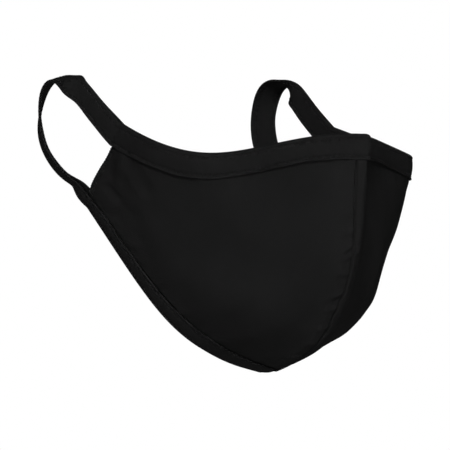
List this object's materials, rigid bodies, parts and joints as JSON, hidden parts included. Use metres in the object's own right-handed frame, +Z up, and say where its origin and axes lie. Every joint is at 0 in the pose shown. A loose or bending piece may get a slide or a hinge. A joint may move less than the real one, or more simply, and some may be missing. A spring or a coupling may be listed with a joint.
{
  "type": "cloth face mask",
  "caption": "Fitted cloth face mask with a sharp centre seam, cheek panels, bound top and bottom edges, and flat ear loops that continue the bindings.",
  "frame": {"origin": "top of the centre seam, where the mask sits across the bridge of the nose", "axes": "+Z up, -Y forwards in the direction of the nose, +X to the wearer's left"},
  "size_m": [0.1586, 0.1475, 0.1382],
  "materials": {
    "panel_jersey": "matte black cotton jersey",
    "binding_jersey": "matte black cotton jersey, folded and topstitched"
  },
  "bodies": {
    "root": {"panel_right": "panel_jersey", "panel_left": "panel_jersey", "binding_top": "binding_jersey", "binding_bottom": "binding_jersey", "ear_loop_right": "binding_jersey", "ear_loop_left": "binding_jersey"}
  },
  "joints": []
}
